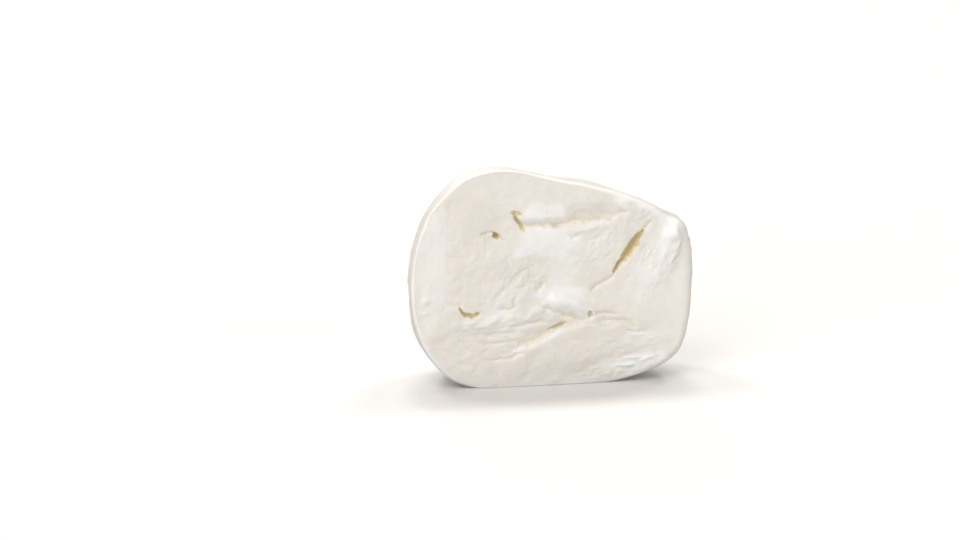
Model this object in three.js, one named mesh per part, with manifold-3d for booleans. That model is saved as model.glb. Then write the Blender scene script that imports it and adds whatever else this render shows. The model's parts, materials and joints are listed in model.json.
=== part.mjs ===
// Half of a fresh mozzarella ball, cut lengthwise through its knot and resting on its belly.
//
// Millimetres. X runs along the ball towards the knot, Z is up, and the cut face looks along -Y.
// The shape is worked out with the cut plane at y = 0, and is then moved so that the origin lies
// on the table under the middle of the piece.

import * as THREE from 'three';
import { mergeVertices } from 'three/addons/utils/BufferGeometryUtils.js';
import Module from 'manifold-3d';

const wasm = await Module();
wasm.setup();

// ---------------------------------------------------------------- driving dimensions

const BELLY_DEPTH = 27; // cut plane to the farthest point of the skin
const CENTRE = new THREE.Vector2(0.5, 25.5); // middle of the ball, which every section shrinks towards
const TABLE = 0; // height of the table, which presses the soft base flat

// The widest section, seen on the cut face: x along the ball, z above the table.
// Below the table it shows how far the base would sag if nothing held it up.
const WIDEST_SECTION = [
  [33.8, 22.7], [33.3, 33], [31.2, 37.4], [27.7, 39.2], [23.1, 42.1], [14.4, 45.5],
  [2.2, 48.4], [-13, 51.2], [-22.4, 48.3], [-29.5, 40.3], [-33.1, 27.2], [-31.4, 12.6],
  [-25.3, 3.3], [-15, -0.8], [4, -0.8], [18.7, 2], [29.8, 7.1],
];

// Superellipse power of the skin from the widest section to the back: 2 is an ellipse, and the
// base is squarer, because the soft cheese spreads there.
const SKIN_POWER = 2.25;
const BELLY = { direction: 270, spread: 75, power: 4 };

// How far the cut edge lies inside the widest section, and how far that section lies behind it.
// Both grow by the further amounts around the knot and along the base.
const EDGE = { inset: 0.8, depth: 1 };
const KNOT_EDGE = { direction: 12, spread: 40, inset: 2.7, depth: 3.3 };
const BASE_EDGE = { direction: 262, spread: 50, inset: 2.4, depth: 1.2 };

// Mesh spacing on the cut face and on the skin, and the rings round the rolled edge.
const FACE_STEP = 1.12;
const SKIN_STEP = 2.3;
const EDGE_RINGS = 3;
const FEWEST_IN_RING = 6;
const SKIN_ARC = 1.45; // length of the skin from rim to back, in mean radii of the section
const OPENING_SIDES = 16;
const OPENING_ROWS = 8;

// ---------------------------------------------------------------- relief of the cut face

// Mounds: place on the face, half-lengths along and across, turn from the X axis, height.
const MOUNDS = [
  { name: 'upper milky swell', at: [-2.4, 41.6], along: 4.8, across: 1.6, turn: -2, height: 1.1 },
  { name: 'lobe over the groove', at: [10.5, 43.3], along: 8, across: 2.1, turn: -6, height: 0.55 },
  { name: 'milk under the groove', at: [-0.8, 35.2], along: 5.5, across: 2.2, turn: 0, height: 0.5 },
  { name: 'lower milky swell', at: [2.4, 20.7], along: 5, across: 2, turn: -3, height: 1.25 },
  { name: 'lower lobe', at: [3.4, 6.8], along: 17, across: 4.6, turn: 3, height: 0.9 },
  { name: 'band behind the slit', at: [26, 29.2], along: 8, across: 2.4, turn: 66, height: 0.65 },
  { name: 'knot', at: [29.6, 36.3], along: 2.6, across: 2.2, turn: 60, height: 1.3 },
  { name: 'left of the milk', at: [-15.1, 27.2], along: 10, across: 7.5, turn: 20, height: 0.5 },
  { name: 'pimple at the rim', at: [-29.7, 21.3], along: 1.2, across: 1.1, turn: 0, height: 0.45 },
  { name: 'hollow by the knot', at: [19.7, 42.4], along: 1.7, across: 0.9, turn: -15, height: -0.65 },
];

// Creases: the route, how deep and how wide, and the height of the lip on the left of the route.
// Each runs out over the same share of its route, to the same share of its depth.
const CREASE_TAPER = 0.2;
const CREASE_END = 0.15;
const CREASES = [
  {
    name: 'groove under the upper swell',
    route: [[-6.4, 38.1], [0, 38.3], [5, 38.7], [12, 39], [17, 40.7]],
    depth: 1.2, width: 1.3, lip: 0.4,
  },
  {
    name: 'crease under the lower swell',
    route: [[4.4, 16.4], [2, 17.6], [-0.2, 18], [-2.6, 18.3]],
    depth: 1, width: 1.15, lip: -0.3,
  },
  {
    name: 'lower fold',
    route: [[7.5, 14.9], [2, 14.6], [-1.5, 13.3], [-5.5, 11.9], [-9.8, 8]],
    depth: 1.1, width: 1.25, lip: 0.5,
  },
  { name: 'upper line', route: [[9.6, 17], [15, 16.8]], depth: 0.35, width: 0.95, lip: 0.1 },
  { name: 'middle line', route: [[11.5, 15.1], [19, 14.4]], depth: 0.4, width: 0.95, lip: 0.2 },
  { name: 'lower line', route: [[17, 12.1], [22.7, 12]], depth: 0.3, width: 0.95, lip: 0.1 },
  { name: 'crack under the slit', route: [[14.4, 26.1], [9.1, 22.5]], depth: 0.45, width: 0.95, lip: 0.2 },
  { name: 'crack over the slit', route: [[21.3, 35.8], [22.8, 38.4]], depth: 0.45, width: 0.95, lip: 0.2 },
  { name: 'crack at the hook', route: [[-13.6, 18.5], [-9.4, 18.8]], depth: 0.4, width: 0.95, lip: 0.2 },
  { name: 'tail of the eye', route: [[-22, 19.3], [-24.6, 20.3]], depth: 0.4, width: 0.95, lip: 0.1 },
  { name: 'inside of the left band', route: [[-25.4, 20.4], [-24.4, 45.2]], depth: 0.3, width: 1.2, lip: 0 },
];

// Openings cut into the curd: place, half-length, half-width, turn from the X axis, depth.
const OPENINGS = [
  { name: 'slit', at: [17.8, 31.1], along: 5.6, across: 1.05, turn: 55, depth: 4.6 },
  { name: 'round hole', at: [-13.5, 35.9], along: 1, across: 0.8, turn: -60, depth: 2.4 },
  { name: 'its crack', at: [-15, 36.7], along: 1.5, across: 0.4, turn: 4, depth: 1.3 },
  { name: 'crevice top', at: [-8.5, 40.9], along: 1.1, across: 0.55, turn: 5, depth: 2 },
  { name: 'crevice foot', at: [-8.1, 38.9], along: 1.9, across: 0.6, turn: -60, depth: 2.4 },
  { name: 'eye', at: [-19.3, 17.5], along: 1.9, across: 0.55, turn: 4, depth: 2.4 },
  { name: 'eye corner', at: [-21.3, 18.5], along: 1.3, across: 0.5, turn: -45, depth: 1.9 },
  { name: 'pit by the swell', at: [8.7, 17], along: 0.95, across: 0.75, turn: 80, depth: 2.1 },
  { name: 'left of the groove', at: [-2.2, 38.2], along: 4.6, across: 0.45, turn: 2, depth: 0.9 },
  { name: 'right of the groove', at: [6.5, 38.8], along: 5, across: 0.42, turn: 2, depth: 0.75 },
  { name: 'under the lower swell', at: [2, 17.4], along: 2.8, across: 0.45, turn: -21, depth: 0.9 },
  { name: 'right of the fold', at: [1.6, 14.5], along: 2.6, across: 0.6, turn: 6, depth: 1.2 },
  { name: 'middle of the fold', at: [-3, 13.2], along: 3.2, across: 0.42, turn: 8, depth: 0.85 },
  { name: 'left of the fold', at: [-6.4, 11.7], along: 2.6, across: 0.4, turn: 14, depth: 0.75 },
];

// Curd fibres: fine ridges across a patch of the face, running at the given turn. They wander
// sideways by this much, once in so many of their pitches.
const FIBRE_WANDER = { width: 0.5, pitches: 4 };
const FIBRES = [
  { name: 'left band', at: [-28.1, 33.2], along: 14, across: 3.4, turn: 88, pitch: 3, height: 0.13 },
  { name: 'middle', at: [-8.6, 24], along: 8.5, across: 4.5, turn: 38, pitch: 2.8, height: 0.19 },
  { name: 'below the eye', at: [-12.6, 12.8], along: 10, across: 4, turn: 4, pitch: 2.8, height: 0.21 },
  { name: 'right of milk', at: [10.9, 32.2], along: 7.5, across: 4.2, turn: 52, pitch: 2.9, height: 0.15 },
  { name: 'right band', at: [26.9, 27.4], along: 10, across: 3.6, turn: 64, pitch: 3.1, height: 0.15 },
];

// ---------------------------------------------------------------- relief of the skin

// Broad unevenness: waves through the ball, turned evenly round the sphere.
const SKIN_WAVES = { count: 7, height: 0.13, longest: 26, shortest: 11 };
const RELIEF_RISE = 0.35; // turn in radians from the rim, or the back, to the full relief

// The skin is drawn in at the knot, in pleats that run out from it.
const KNOT = { at: new THREE.Vector3(33, 6.5, 33), reach: 11, pleats: 9, height: 0.6, hollow: 1.1 };

// ---------------------------------------------------------------- helpers

const QUARTER = Math.PI / 2;
const GOLDEN_ANGLE = Math.PI * (3 - Math.sqrt(5));

const smooth = (t) => THREE.MathUtils.smoothstep(t, 0, 1);

/** Bell of height 1 around 0. */
const bell = (t) => Math.exp(-t * t);

/** How near a direction in degrees is to another, as a bell of the given spread. */
function nearDirection(degrees, { direction, spread }) {
  const turn = THREE.MathUtils.euclideanModulo(degrees - direction + 180, 360) - 180;
  return bell(turn / spread);
}

/** A place on the face in the axes of a feature, as [along, across]. */
function featureAxes(x, z, { at, turn }) {
  const angle = THREE.MathUtils.degToRad(turn);
  const dx = x - at[0];
  const dz = z - at[1];
  const cos = Math.cos(angle);
  const sin = Math.sin(angle);
  return [dx * cos + dz * sin, dz * cos - dx * sin];
}

/** Nearest place on a route: signed distance, positive on its left, and the fraction covered. */
function besideRoute(x, z, route) {
  let best = { distance: Infinity, side: 1, covered: 0 };
  const spans = route.length - 1;
  for (let i = 0; i < spans; i += 1) {
    const [ax, az] = route[i];
    const [bx, bz] = route[i + 1];
    const ux = bx - ax;
    const uz = bz - az;
    const along = ((x - ax) * ux + (z - az) * uz) / (ux * ux + uz * uz);
    const t = THREE.MathUtils.clamp(along, 0, 1);
    const dx = x - ax - ux * t;
    const dz = z - az - uz * t;
    const distance = Math.hypot(dx, dz);
    if (distance < best.distance) {
      best = { distance, side: Math.sign(ux * dz - uz * dx) || 1, covered: (i + t) / spans };
    }
  }
  return best;
}

/** Height of the cut face over its plane, towards the viewer. */
function faceRelief(x, z) {
  let height = 0;
  for (const mound of MOUNDS) {
    const [along, across] = featureAxes(x, z, mound);
    height += mound.height * bell(Math.hypot(along / mound.along, across / mound.across));
  }
  for (const crease of CREASES) {
    const { distance, side, covered } = besideRoute(x, z, crease.route);
    const inside = smooth(Math.min(covered, 1 - covered) / CREASE_TAPER);
    const groove = bell(distance / crease.width) * crease.depth;
    const lip = side > 0 ? bell(distance / crease.width - 2) * crease.lip : 0;
    height += THREE.MathUtils.lerp(CREASE_END, 1, inside) * (lip - groove);
  }
  for (const patch of FIBRES) {
    const [along, across] = featureAxes(x, z, patch);
    const inside = bell(Math.hypot(along / patch.along, across / patch.across));
    const turns = (2 * Math.PI) / patch.pitch;
    const wander = FIBRE_WANDER.width * Math.sin((turns * along) / FIBRE_WANDER.pitches);
    height += patch.height * inside * Math.cos(turns * (across + wander));
  }
  return height;
}

/** Height of the skin over the smooth ball: broad waves, and pleats drawn in at the knot. */
function skinRelief(point) {
  let height = 0;
  for (let i = 0; i < SKIN_WAVES.count; i += 1) {
    const share = (i + 0.5) / SKIN_WAVES.count;
    const polar = Math.acos(1 - 2 * share);
    const direction = new THREE.Vector3().setFromSphericalCoords(1, polar, i * GOLDEN_ANGLE);
    const length = THREE.MathUtils.lerp(SKIN_WAVES.longest, SKIN_WAVES.shortest, share);
    height += SKIN_WAVES.height * Math.sin((2 * Math.PI * point.dot(direction)) / length + i);
  }
  const from = point.clone().sub(KNOT.at);
  const distance = from.length() / KNOT.reach;
  const pleat = Math.cos(KNOT.pleats * Math.atan2(from.z, from.y)) * smooth(2 * distance);
  return height + KNOT.height * pleat * bell(distance) - KNOT.hollow * bell(3 * distance);
}

// ---------------------------------------------------------------- rings of points

const section = new THREE.CatmullRomCurve3(
  WIDEST_SECTION.map(([x, z]) => new THREE.Vector3(x, 0, z)), true, 'centripetal',
);
const SECTION_LENGTH = section.getLength();

/** The widest section at a fraction of its length: its place, its direction and its edge. */
function sectionAt(fraction) {
  const point = section.getPointAt(fraction);
  const arm = new THREE.Vector2(point.x, point.z).sub(CENTRE);
  const degrees = THREE.MathUtils.radToDeg(arm.angle());
  const knot = nearDirection(degrees, KNOT_EDGE);
  const base = nearDirection(degrees, BASE_EDGE);
  return {
    arm,
    inset: EDGE.inset + KNOT_EDGE.inset * knot + BASE_EDGE.inset * base,
    depth: EDGE.depth + KNOT_EDGE.depth * knot + BASE_EDGE.depth * base,
    power: THREE.MathUtils.lerp(SKIN_POWER, BELLY.power, nearDirection(degrees, BELLY)),
  };
}

/** A point of the cut face, where scale is 1 at the cut edge and 0 in the middle. */
function facePoint({ arm, inset }, scale) {
  const cut = arm.clone().multiplyScalar(scale * (1 - inset / arm.length())).add(CENTRE);
  return new THREE.Vector3(cut.x, -faceRelief(cut.x, cut.y), cut.y);
}

/** A point of the rolled edge, where turn is 0 at the cut edge and a right angle at the widest. */
function edgePoint({ arm, inset, depth }, turn) {
  const reach = 1 - (inset * (1 - Math.sin(turn))) / arm.length();
  const place = arm.clone().multiplyScalar(reach).add(CENTRE);
  const relief = faceRelief(place.x, place.y) * (1 - Math.sin(turn)) ** 2;
  const point = new THREE.Vector3(place.x, depth * (1 - Math.cos(turn)) - relief, place.y);
  point.z = Math.max(point.z, TABLE);
  return point;
}

/** A point of the skin, where turn is 0 at the widest section and a right angle at the back. */
function skinPoint({ arm, depth, power }, turn) {
  const cos = Math.cos(turn);
  const sin = Math.sin(turn);
  const reach = (Math.abs(cos) ** power + Math.abs(sin) ** power) ** (-1 / power);
  const out = arm.clone().multiplyScalar(reach * cos);
  const back = (BELLY_DEPTH - depth) * reach * sin;
  const point = new THREE.Vector3(CENTRE.x + out.x, depth + back, CENTRE.y + out.y);
  const outward = new THREE.Vector3(out.x, back, out.y).normalize();
  const fromRim = smooth(turn / RELIEF_RISE);
  const fromBack = smooth((QUARTER - turn) / RELIEF_RISE);
  point.addScaledVector(outward, skinRelief(point) * fromRim * fromBack);
  point.z = Math.max(point.z, TABLE);
  return point;
}

/** A closed ring of points about `step` apart on a section shrunk to `scale`. */
function ring(place, scale, step) {
  const count = Math.max(FEWEST_IN_RING, Math.round((SECTION_LENGTH * scale) / step));
  return Array.from({ length: count }, (_, i) => place(sectionAt(i / count)));
}

/** Every ring of the body, from the middle of the face over the edge to the back. */
function bodyRings() {
  const rings = [];
  const meanRadius = SECTION_LENGTH / (2 * Math.PI);
  const faceRings = Math.round(meanRadius / FACE_STEP);
  for (let i = 1; i <= faceRings; i += 1) {
    const scale = i / faceRings;
    rings.push(ring((at) => facePoint(at, scale), scale, FACE_STEP));
  }
  for (let i = 1; i <= EDGE_RINGS; i += 1) {
    const share = i / EDGE_RINGS;
    const step = THREE.MathUtils.lerp(FACE_STEP, SKIN_STEP, share);
    rings.push(ring((at) => edgePoint(at, share * QUARTER), 1, step));
  }
  const skinRings = Math.round((SKIN_ARC * meanRadius) / SKIN_STEP);
  for (let i = 1; i < skinRings; i += 1) {
    const turn = (i / skinRings) * QUARTER;
    rings.push(ring((at) => skinPoint(at, turn), Math.cos(turn), SKIN_STEP));
  }
  return rings;
}

/**
 * Triangles between two rings of any number of points that start in the same direction.
 * A ring of one point is a pole, which takes no steps of its own.
 */
function stitch(triangles, first, second) {
  const steps = [first, second].map(({ count }) => (count > 1 ? count : 0));
  let a = 0;
  let b = 0;
  while (a < steps[0] || b < steps[1]) {
    const fromA = first.start + (a % first.count);
    const fromB = second.start + (b % second.count);
    const firstIsNext = a < steps[0] && (a + 1) * steps[1] <= (b + 1) * steps[0];
    if (firstIsNext || b === steps[1]) {
      a += 1;
      triangles.push(fromA, fromB, first.start + (a % first.count));
    } else {
      b += 1;
      triangles.push(fromA, fromB, second.start + (b % second.count));
    }
  }
}

/** The whole half ball as one closed solid, before the openings are cut. */
function bodySolid() {
  const rings = bodyRings();
  const points = [new THREE.Vector3(CENTRE.x, -faceRelief(CENTRE.x, CENTRE.y), CENTRE.y)];
  const spans = rings.map((row) => {
    const start = points.length;
    points.push(...row);
    return { start, count: row.length };
  });
  const back = points.length;
  points.push(new THREE.Vector3(CENTRE.x, BELLY_DEPTH, CENTRE.y));

  const triangles = [];
  stitch(triangles, { start: 0, count: 1 }, spans[0]);
  for (let i = 1; i < spans.length; i += 1) {
    stitch(triangles, spans[i - 1], spans[i]);
  }
  stitch(triangles, spans[spans.length - 1], { start: back, count: 1 });
  return toSolid(points.flatMap((point) => point.toArray()), triangles);
}

// ---------------------------------------------------------------- solids

/** A closed mesh, given as coordinates and corner numbers, as a solid that can be cut. */
function toSolid(coordinates, corners) {
  const vertProperties = new Float32Array(coordinates);
  const triVerts = new Uint32Array(corners);
  return new wasm.Manifold(new wasm.Mesh({ numProp: 3, vertProperties, triVerts }));
}

/** An opening: a sphere squeezed to a spindle, with its middle on the cut face. */
function openingSolid({ at, along, across, turn, depth }) {
  const sphere = new THREE.SphereGeometry(1, OPENING_SIDES, OPENING_ROWS);
  sphere.scale(along, depth, across);
  sphere.rotateY(-THREE.MathUtils.degToRad(turn));
  sphere.translate(at[0], -faceRelief(at[0], at[1]), at[1]);
  sphere.deleteAttribute('normal');
  sphere.deleteAttribute('uv');
  const closed = mergeVertices(sphere);
  return toSolid(closed.getAttribute('position').array, closed.getIndex().array);
}

/** A solid's surface as a three.js geometry. */
function toGeometry(solid) {
  const { vertProperties, triVerts } = solid.getMesh();
  const geometry = new THREE.BufferGeometry();
  geometry.setAttribute('position', new THREE.BufferAttribute(vertProperties, 3));
  geometry.setIndex(new THREE.BufferAttribute(triVerts, 1));
  geometry.computeVertexNormals();
  return geometry;
}

// ---------------------------------------------------------------- the part

const solid = OPENINGS.reduce((body, opening) => body.subtract(openingSolid(opening)), bodySolid());
const geometry = toGeometry(solid);
geometry.computeBoundingBox();
const middle = geometry.boundingBox.getCenter(new THREE.Vector3());
geometry.translate(-middle.x, -middle.y, -geometry.boundingBox.min.z);

const curd = new THREE.MeshStandardMaterial({ color: 0xf1ebdc, roughness: 0.42, metalness: 0 });
const half = new THREE.Mesh(geometry, curd);
half.name = 'mozzarella_half';

const part = new THREE.Group();
part.add(half);

export default part;
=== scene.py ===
"""Half of a fresh mozzarella ball: its curd, its skin and the light round it.

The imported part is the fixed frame. The cheese is one closed mesh that stands for the part's only
node: it has the node's form, with the folds, holes, milky swells and torn curd modelled finely.

Shapes are worked out in millimetres with the cut plane at y = 0, x along the ball towards its
knot, z up and y into the ball. They are moved to the frame's place, in metres, as meshes.
"""

import json
import math
from itertools import accumulate

import bpy
import numpy as np
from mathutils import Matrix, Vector

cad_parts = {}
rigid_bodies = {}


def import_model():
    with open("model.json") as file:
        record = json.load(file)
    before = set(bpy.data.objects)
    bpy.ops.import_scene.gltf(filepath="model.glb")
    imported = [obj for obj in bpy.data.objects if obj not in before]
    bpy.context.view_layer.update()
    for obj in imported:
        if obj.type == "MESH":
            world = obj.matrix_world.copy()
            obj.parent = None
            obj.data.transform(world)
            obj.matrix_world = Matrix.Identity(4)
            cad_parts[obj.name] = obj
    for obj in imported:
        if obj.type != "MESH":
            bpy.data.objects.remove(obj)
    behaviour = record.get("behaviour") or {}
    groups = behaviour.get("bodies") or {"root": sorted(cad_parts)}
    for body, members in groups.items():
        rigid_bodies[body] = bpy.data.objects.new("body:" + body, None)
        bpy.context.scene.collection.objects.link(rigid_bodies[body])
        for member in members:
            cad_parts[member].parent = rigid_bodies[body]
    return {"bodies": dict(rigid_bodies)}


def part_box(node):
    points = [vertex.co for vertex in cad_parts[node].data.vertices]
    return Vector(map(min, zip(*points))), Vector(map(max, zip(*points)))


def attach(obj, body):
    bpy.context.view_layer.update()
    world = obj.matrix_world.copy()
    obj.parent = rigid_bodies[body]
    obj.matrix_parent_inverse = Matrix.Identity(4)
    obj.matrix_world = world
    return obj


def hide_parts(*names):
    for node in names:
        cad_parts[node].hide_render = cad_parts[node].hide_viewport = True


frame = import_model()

bl_info = {
    "name": "Halved mozzarella ball",
    "version": (1, 0, 0),
    "blender": (4, 5, 0),
    "location": "3D View > Sidebar > Mozzarella",
    "description": "Makes the half of a fresh mozzarella ball, and a studio to show it in",
    "category": "Add Mesh",
}

NODE = "mozzarella_half"
BODY = next(iter(frame["bodies"]))
LOW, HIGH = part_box(NODE)
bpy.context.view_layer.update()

MM = 0.001
GOLDEN_ANGLE = math.pi * (3 - math.sqrt(5))
# The hollow mask says where golden shade is painted: in the openings and at the bottoms of creases.
MASKS = ("cut", "hollow", "milk")  # the mesh's attributes, each from 0 to 1

# ---------------------------------------------------------------- the ball, in millimetres

CENTRE = (0.5, 25.5)  # middle of the ball, which every section shrinks towards

# The widest section, as x and z. Below z = 0 it shows how far the base would sag if free.
WIDEST_SECTION = [
    (33.8, 22.7), (33.3, 33), (31.2, 37.4), (27.7, 39.2), (23.1, 42.1), (14.4, 45.5),
    (2.2, 48.4), (-13, 51.2), (-22.4, 48.3), (-29.5, 40.3), (-33.1, 27.2), (-31.4, 12.6),
    (-25.3, 3.3), (-15, -0.8), (4, -0.8), (19, 1), (30.3, 6.5),
]

# Superellipse power of the skin from the widest section to the back, squarer at the base.
SKIN_POWER = 2.25
BELLY = {"direction": 270, "spread": 75, "power": 4}

# How far the cut edge lies inside the widest section and in front of it, and how much further
# round the knot and along the base.
EDGE = {"inset": 0.5, "depth": 0.8}
KNOT_EDGE = {"direction": 12, "spread": 40, "inset": 2.7, "depth": 3.3}
BASE_EDGE = {"direction": 262, "spread": 50, "inset": 2, "depth": 0.9}

EDGE_RINGS = 12
FEWEST_IN_RING = 6
SECTION_STEPS = 60  # points on the section's curve for each of its spans
SKIN_ARC = 1.45  # length of the skin from rim to back, in mean radii of the section
SKIN_STARTS = 0.8  # share of the rolled edge after which its surface is all skin

# ---------------------------------------------------------------- relief of the cut face

NOISE_CELLS = 64  # the noise repeats after this many bumps
BROAD_WAVES = {"sizes": (9, 4, 2), "seed": 10, "height": 0.3}

# How noise moves the places where the relief is looked up, so that no outline is smooth: how
# far, the sizes of its layers, and its seeds for x and z.
SOFT_WARP = {"reach": 0.6, "sizes": (7, 3), "seeds": (20, 24)}
TORN_WARP = {"reach": 0.5, "sizes": (4, 1.6, 0.7), "seeds": (30, 34)}
RAGGED_WARP = {"reach": 0.22, "sizes": (1.4, 0.7), "seeds": (50, 54)}

# Mounds: place, half-lengths along and across, turn from the X axis in degrees, height.
MOUNDS = [
    ("upper milky swell", (-2.2, 39.6), (4.6, 1.6), -2, 1.4),
    ("lobe over the groove", (10.5, 43.2), (8, 2.1), -6, 0.5),
    ("milk under the groove", (-0.8, 34.6), (5.4, 2.6), 0, 0.5),
    ("lip under the groove", (8, 37.1), (4.2, 0.9), 6, 0.25),
    ("film between the swells", (1.3, 27), (4.6, 3.2), 0, -0.35),
    ("lower milky swell", (2.4, 20.2), (4.8, 2.3), -6, 1.45),
    ("nose of the lower swell", (6.2, 17.9), (2.8, 1.9), -40, 0.9),
    ("flank of the lower swell", (-4.6, 18), (3.2, 1.1), 35, 0.45),
    ("lower lobe", (3.4, 6.8), (17, 4.6), 3, 0.9),
    ("band behind the slit", (26, 29.2), (8, 2.4), 66, 0.55),
    ("ridge of the band", (28.6, 30), (3.6, 0.6), 68, 0.3),
    ("valley right of the band", (29.6, 26.5), (4.4, 0.9), 72, -0.2),
    ("knot", (29.6, 35.7), (2.7, 2.1), 60, 1.5),
    ("foot of the knot", (29, 33.2), (2.2, 0.8), 10, -0.25),
    ("left of the milk", (-15.1, 27.2), (10, 7.5), 20, 0.5),
    ("pimple at the rim", (-29.7, 21.3), (0.9, 0.8), 0, 0.5),
    ("lower pimple", (-29.8, 18.2), (0.9, 0.5), 20, 0.3),
    ("hollow by the knot", (19.7, 42.4), (1.7, 0.8), -15, -0.7),
    ("patch by the top edge", (16.4, 43.6), (1.7, 1.3), -20, 0.3),
    ("swelling under the eye", (-14, 15.6), (7, 1.8), 2, 0.4),
    ("lump under the eye", (-18.8, 16.4), (1.5, 0.7), 10, 0.35),
    ("lump below it", (-17.2, 15), (1.6, 0.6), -10, 0.25),
    ("lump right of the eye", (-14.2, 16.6), (1.2, 0.8), 30, 0.3),
    ("lump at the hook", (-9.8, 17.2), (1.3, 0.6), 15, 0.3),
    ("wet lump at the base", (18.1, 4.3), (0.9, 0.5), 0, 0.6),
    ("wet lump beside it", (16.6, 3.9), (1.6, 0.35), 4, 0.4),
    ("wet lump to the right", (22.6, 5.6), (1.8, 0.5), 16, 0.5),
    ("wet patch over them", (18.5, 5.9), (1.8, 0.5), 6, 0.35),
]

ROUTE_STEPS = 6  # points on the curve of a crease or an opening for each of its spans

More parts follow.
